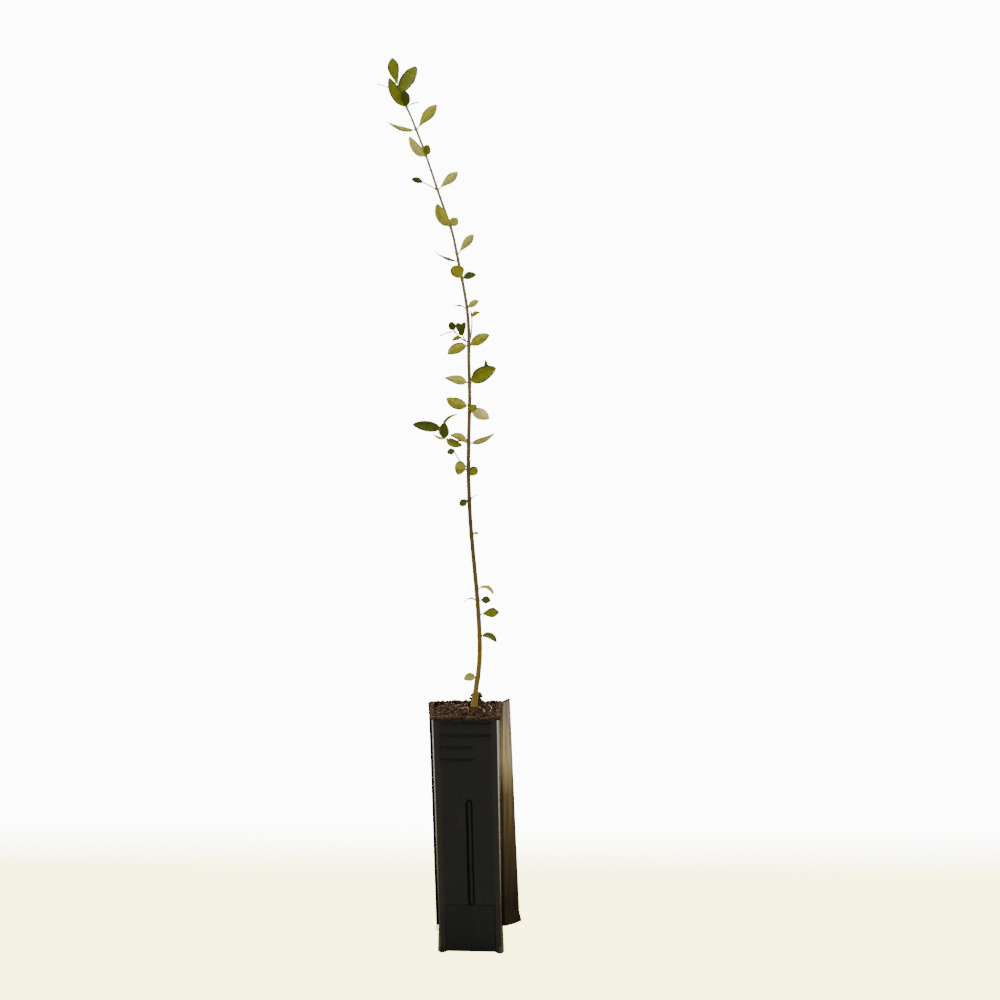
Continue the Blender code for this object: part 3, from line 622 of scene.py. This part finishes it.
# Leaves on the stem, node by node from the foot: form, tip from the node (right, back, up), width, arch,
# turn of the upper face to the front, tint of the side that faces the front, and tint of the margin
LEAVES = (
    (199.0, (("oval", -9.8, -4, -0.4, 6.4, 1.2, 62, "olive", "dark"),)),
    (230.7, (("oval", 12.8, -4, -4.2, 6.2, 2.2, 40, "deep", "olive"),)),
    (246.8, (("spoon", 15.8, -3, 1.8, 7.4, 0.4, 72, "green", "deep"),)),
    (257.6, (("spoon", 10.4, -5, 0.6, 5.8, 0.2, 74, "deep", "deep"),
             ("lance", -10.6, 4, -2.4, 4.0, 1.8, 6, "grey", "grey"))),
    (266.0, (("oval", 12.8, -3.2, -3.8, 5.0, 3.0, 24, "olive", "dark"),)),
    (307.2, (("round", 5.4, -2, 0.4, 3.0, 0.3, 40, "grey", "grey"),)),
    (332.6, (("round", -6.6, -3, -4.0, 5.6, 0.3, 84, "deep", "deep"),
             ("lance", 5.4, 3, 3.8, 2.6, 0.5, 14, "grey", "grey"))),
    (354.8, (("round", -9.6, -5, 1.6, 10.6, 0.6, -84, "olive", "green"),
             ("round", 6.6, -4, -3.4, 7.2, 0.6, 80, "green", "deep"),
             ("lance", 6.2, 3, 1.8, 3.0, 0.6, 50, "deep", "deep"))),
    (374.7, (("lance", 19.2, 3, 7.4, 6.4, -2.4, -40, "lime", "dark"),
             ("oval", -13.0, -4, 6.0, 5.8, 1.6, -70, "lime", "red"))),
    (397.5, (("oval", 14.2, 3, -5.6, 8.8, 1.2, -84, "pale", "pale"),)),
    (402.6, (("oval", -16.4, -4, 5.6, 8.8, -1.8, -80, "olive", "green"),
             ("round", 2.2, -4, -5.0, 7.4, 0.8, 84, "green", "deep"))),
    (419.0, (("oval", 20.4, -4.2, 9.8, 11.6, 0.8, 82, "green", "deep"),
             ("lance", -19.4, 3, 4.4, 7.0, 0.6, -80, "lime", "olive"))),
    (446.2, (("oval", 15.8, -3, 7.0, 7.8, 0.8, -82, "olive", "olive"),
             ("oval", -15.4, -3, -6.2, 7.8, 1.4, -82, "olive", "red"))),
    (473.8, (("oval", 9.4, -3, 4.4, 4.8, 0.6, -78, "lime", "olive"),
             ("lance", -9.8, 3, 2.0, 3.2, 0.8, -14, "grey", "grey"))),
    (495.2, (("round", -3.4, -7, 8.6, 10.4, -0.8, -84, "olive", "green"),
             ("oval", 10.0, 4, 3.4, 6.0, 0.6, 80, "deep", "olive"))),
    (508.4, (("lance", -16.8, 4, 7.4, 4.2, -1.6, -20, "grey", "grey"),)),
    (513.2, (("spoon", 13.2, -3, 13.2, 6.2, 0.4, -80, "lime", "olive"),)),
    (533.6, (("oval", -8.6, -6, 15.4, 8.6, -1.6, -84, "olive", "olive"),
             ("round", 4.6, 5, 7.2, 7.2, 0.6, -84, "olive", "olive"))),
    (560.8, (("spoon", 15.2, 3, 12.9, 6.8, 0.4, -80, "lime", "olive"),
             ("paddle", -18.4, -4, 7.4, 4.4, 1.2, -62, "deep", "dark"))),
    (585.6, (("oval", -12.8, 4, 16.0, 7.0, -1.6, -80, "lime", "olive"),
             ("round", 3.0, -6, 5.8, 6.8, 0.4, 84, "green", "olive"))),
    (605.0, (("spoon", 15.3, 4, 18.6, 7.8, 0.8, -80, "olive", "green"),
             ("lance", -21.0, -3, 6.2, 3.6, -2.2, -56, "lime", "olive"))),
    (621.5, (("oval", -11.2, -5, 20.0, 8.4, -1.8, 84, "green", "deep"),
             ("round", -0.4, -7, 9.6, 7.0, -0.4, 84, "deep", "deep"),
             ("lance", 8.4, 5, 5.0, 3.0, 0.6, 10, "grey", "grey"))),
    (631.0, (("oval", 9.0, 17, 26.4, 11.6, 0.4, 84, "green", "deep"),
             ("lance", -16.6, -3, 7.4, 3.8, 0.8, 14, "grey", "grey"))),
    (636.2, (("spoon", -3.2, -3, 20.4, 8.8, 0.4, 84, "green", "deep"),
             ("lance", -1.6, -3, 4.4, 2.6, 0.4, 0, "lime", "lime"))),
)


def ramp(value, low, high):
    """0 at low, 1 at high and straight between."""
    return min(1.0, max(0.0, (value - low) / (high - low)))


def leaf_half_width(share, form, width):
    stalk, widest, fullness = LEAF_FORMS[form]
    if share <= stalk:
        return STALK_RADIUS
    along = (share - stalk) / (1 - stalk)
    swell = sin(pi * min(along ** (log(0.5) / log(widest)), 1)) ** fullness
    return max(width / 2 * swell, TIP_WIDTH, STALK_RADIUS * (1 - along))


blades = {tint: ([], []) for tint in TINTS}
leaf_rng = Random(5)


def add_leaf(root, form, tip, width, arch, turn, axis, tint, margin):
    """One leaf with its stalk: a thin folded blade along an arched rib, its faces dealt out by tint."""
    upper_tint, under_tint = (tint, "lime") if turn >= 0 else ("green", tint)
    chord = tip.normalized()
    toward_front = frame_across(chord, FRONT)[1]
    upper = chord.cross(toward_front)
    if upper.dot(axis) < 0:
        upper = -upper
    face = upper * cos(radians(turn)) + toward_front * sin(radians(turn))
    middle = root + tip / 2 + upper * arch * 2
    end = root + tip
    phase = leaf_rng.uniform(0, 2 * pi)
    wave = leaf_rng.uniform(0.02, 0.05)
    sections = []
    for station in range(LEAF_STATIONS + 1):
        share = station / LEAF_STATIONS
        centre = root * (1 - share) ** 2 + middle * 2 * share * (1 - share) + end * share ** 2
        direction = ((middle - root) * (1 - share) + (end - middle) * share).normalized()
        beside, normal = frame_across(direction, face)
        half = leaf_half_width(share, form, width)
        blade = ramp(half, STALK_RADIUS, 3 * STALK_RADIUS)
        thick_edge = STALK_RADIUS * 0.5 + (LEAF_EDGE / 2 - STALK_RADIUS * 0.5) * blade
        thick_rib = STALK_RADIUS + (LEAF_RIB / 2 - STALK_RADIUS) * blade
        top, under = [], []
        for column in range(LEAF_COLUMNS):
            t = 1 - 2 * column / (LEAF_COLUMNS - 1)
            fold = abs(t) * half * tan(LEAF_FOLD) * blade
            ripple = half * wave * abs(t) ** 2 * sin(share * 14 + phase + (2.0 if t > 0 else 0)) * blade
            vein = max(0.0, cos(2 * pi * (share * VEIN_PAIRS - abs(t) * 0.8))) ** 6 * VEIN_RISE * blade
            vein *= 1 - abs(t) ** 4
            core = centre + beside * half * t + normal * (fold + ripple)
            thick = thick_edge + (thick_rib - thick_edge) * max(0.0, 1 - abs(t) * 3)
            top.append(core + normal * (thick_edge + (thick - thick_edge) * (1 - 0.7 * blade) - vein * 0.6))
            under.append(core - normal * (thick + vein))
        sections.append(top + under[::-1])
    vertices, faces = lofted(sections)
    stalk = LEAF_FORMS[form][0]
    count = 2 * LEAF_COLUMNS
    dealt = {}
    for number, corners in enumerate(faces):
        row, column = divmod(number - 1, count)
        if number in (0, len(faces) - 1):
            kind = "stalk" if number == 0 else margin
        elif (row + 0.5) / LEAF_STATIONS < stalk:
            kind = "stalk"
        elif column in (0, LEAF_COLUMNS - 2, LEAF_COLUMNS - 1, LEAF_COLUMNS, 2 * LEAF_COLUMNS - 2, count - 1):
            kind = margin
        elif column < LEAF_COLUMNS - 1:
            kind = upper_tint
        else:
            kind = under_tint
        dealt.setdefault(kind, []).append(corners)
    for kind, kept in dealt.items():
        all_vertices, all_faces = blades[kind]
        places = {}
        for corners in kept:
            for corner in corners:
                if corner not in places:
                    places[corner] = len(all_vertices)
                    all_vertices.append(vertices[corner])
            all_faces.append(tuple(places[corner] for corner in corners))


def root_beside_stem(share, tip, distance):
    """A point beside the stem, on the side that the tip points to."""
    direction = stem_direction(share)
    out = (tip - direction * tip.dot(direction)).normalized()
    return stem_point(share) + out * (stem_radius(share) + distance)


for height, leaves in LEAVES:
    share = share_at_height(height * MM)
    for form, right, back, up, width, arch, turn, tint, margin in leaves:
        tip = Vector((right, back, up)) * MM
        root = root_beside_stem(share, tip, -0.2 * MM)
        add_leaf(root, form, stem_point(share) + tip - root, width * MM, arch * MM, turn,
                 stem_direction(share), tint, margin)


# The side shoots
#
# Five short green-brown twigs from the leaves' axils, each with a few leaves of its own, and a small
# scaly bud in the other axils.

TWIG_SIDES = 10
TWIG_STATIONS = 14
TWIG_RADIUS = 0.62 * MM
TWIG_TIP_RADIUS = 0.5 * MM
BUD_LENGTH = 1.3 * MM
SIDE_SHOOTS = {
    "side_shoot_lowest": (357.4, (
        (0, (-8.0, 1.5, 11.4)),
    ), (
        (1, 1.0, ("oval", -5.4, -2, -1.0, 5.0, 0.4, 80, "deep", "deep")),
        (1, 0.96, ("lance", -1.4, 2, 2.8, 2.0, 0.2, 0, "grey", "grey")),
    )),
    "side_shoot_left": (376.8, (
        (0, (-16.6, 7, 1.6)),
        (1, (-2.6, 1, 7.6)),
    ), (
        (1, 0.96, ("oval", 12.6, -5, -5.2, 6.4, 0.8, 80, "green", "deep")),
        (1, 1.0, ("lance", -9.4, 2, 3.6, 3.4, 0.6, -40, "lime", "olive")),
        (1, 1.0, ("oval", 0.6, -4, 12.2, 8.2, 0.6, 84, "deep", "green")),
        (2, 1.0, ("oval", -21.6, -3, 3.8, 8.2, 0.2, 84, "deep", "deep")),
        (2, 1.0, ("lance", 12.6, 4, 11.0, 3.4, 2.6, -34, "green", "olive")),
    )),
    "side_shoot_right": (421.8, (
        (0, (9.6, 6, 5.6)),
    ), (
        (1, 1.0, ("lance", 0.2, 0, 9.4, 3.6, 0.3, 62, "deep", "dark")),
        (1, 0.9, ("lance", -5.0, 4, 3.4, 2.6, 0.4, 0, "grey", "grey")),
    )),
    "side_shoot_upper_left": (449.2, (
        (0, (-9.2, 4, 9.0)),
        (0, (-2.4, -4, 5.4)),
    ), (
        (1, 1.0, ("round", -1.6, -3, 6.4, 5.8, 0.4, 84, "deep", "deep")),
        (1, 0.86, ("lance", -12.4, 3, -1.8, 3.0, 0.8, 20, "grey", "grey")),
        (1, 0.42, ("oval", -6.6, -3, -2.6, 3.4, 0.4, -60, "olive", "grey")),
        (2, 1.0, ("round", -3.6, -3, 7.6, 5.4, 0.4, 82, "deep", "deep")),
        (2, 0.94, ("round", 2.4, -2, 8.6, 4.4, 0.4, 80, "deep", "deep")),
        (2, 0.8, ("round", -2.4, -3.5, 3.6, 5.2, 0.4, 80, "deep", "deep")),
    )),
    "side_shoot_upper_right": (449.0, (
        (0, (2.2, -3, 17.4)),
    ), (
        (1, 1.0, ("lance", 6.6, 0, 3.4, 3.6, 1.2, -50, "olive", "olive")),
        (1, 0.95, ("lance", -0.6, -2, 5.6, 2.2, 0.2, 30, "red", "red")),
    )),
}

twig_tubes = []
for height, twigs, leaves in SIDE_SHOOTS.values():
    share = share_at_height(height * MM)
    ends = {}
    for number, (parent, tip) in enumerate(twigs, start=1):
        tip = Vector(tip) * MM
        if parent:
            root = ends[parent][0] + ends[parent][1] * 0.98
        else:
            root = root_beside_stem(share, Vector(twigs[0][1]), CLEARANCE + TWIG_RADIUS)
        ends[number] = (root, tip)
        start = TWIG_TIP_RADIUS if parent else TWIG_RADIUS
        direction = tip.normalized()
        sag = frame_across(direction, UP)[1] * tip.length * -0.06
        if not parent:
            inward = (stem_point(share) - root).normalized() * (CLEARANCE + TWIG_RADIUS * 2)
        centres, radii = [], []
        for step in range(TWIG_STATIONS + 1):
            along = step / TWIG_STATIONS
            centre = root + tip * along + sag * 4 * along * (1 - along)
            if not parent:
                centre += inward * max(0.0, 1 - along * 6) ** 2
            centres.append(centre)
            radii.append(start + (TWIG_TIP_RADIUS - start) * along)
        twig_tubes.append(tube(centres, radii, TWIG_SIDES))
    for number, place, (form, right, back, up, width, arch, turn, tint, margin) in leaves:
        root, tip = ends[number]
        add_leaf(root + tip * (place - 0.02), form, Vector((right, back, up)) * MM, width * MM, arch * MM,
                 turn, tip.normalized(), tint, margin)

for index, share in enumerate(node_shares):
    direction = stem_direction(share)
    across, normal = frame_across(direction, FRONT)
    out = (across if index % 2 else -across) * 0.9 + normal * 0.3
    foot = stem_point(share + 0.0015) + out.normalized() * stem_radius(share) * 0.7
    reach = (direction + out * 0.45).normalized() * BUD_LENGTH
    centres = [foot + reach * step / 6 for step in range(7)]
    radii = [BUD_LENGTH * 0.34 * sqrt(max(0.02, 1 - (step / 6) ** 2)) for step in range(7)]
    twig_tubes.append(tube(centres, radii, 8))

twig_finish = Finish("green_twigs")
twig_mix = twig_finish.place.scaled(1, 1, 0.4).grain(1.0 * MM, 3.0)
twig_finish.set(Base_Color=twig_mix.colours((0.35, (0.10, 0.065, 0.03)), (0.6, (0.21, 0.16, 0.07))),
                Roughness=0.5)
twig_finish.bumped(twig_mix, 0.12 * MM)
shoots = joined("side_twigs", twig_tubes, twig_finish.material)
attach(shoots, "root")
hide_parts(*SIDE_SHOOTS)

leaf_nodes = [f"leaves_{number:02d}" for number in range(1, len(LEAVES) + 1)]
for tint, (vertices, faces) in blades.items():
    leaf_finish = Finish("leaf_" + tint)
    mottle = leaf_finish.place.grain(2.2 * MM, 3.0)
    base = TINTS[tint]
    darker = tuple(channel * 0.78 for channel in base)
    lighter = tuple(channel * 1.18 for channel in base)
    leaf_finish.set(Base_Color=mottle.colours((0.35, darker), (0.65, lighter)), Roughness=0.6,
                    Specular_IOR_Level=0.15)
    leaf_finish.bumped(leaf_finish.place.grain(0.35 * MM, 2.0), 0.04 * MM)
    piece = mesh_piece("leaf_faces_" + tint, vertices, faces, leaf_finish.material, 75)
    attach(piece, "root")
    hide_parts(*leaf_nodes)
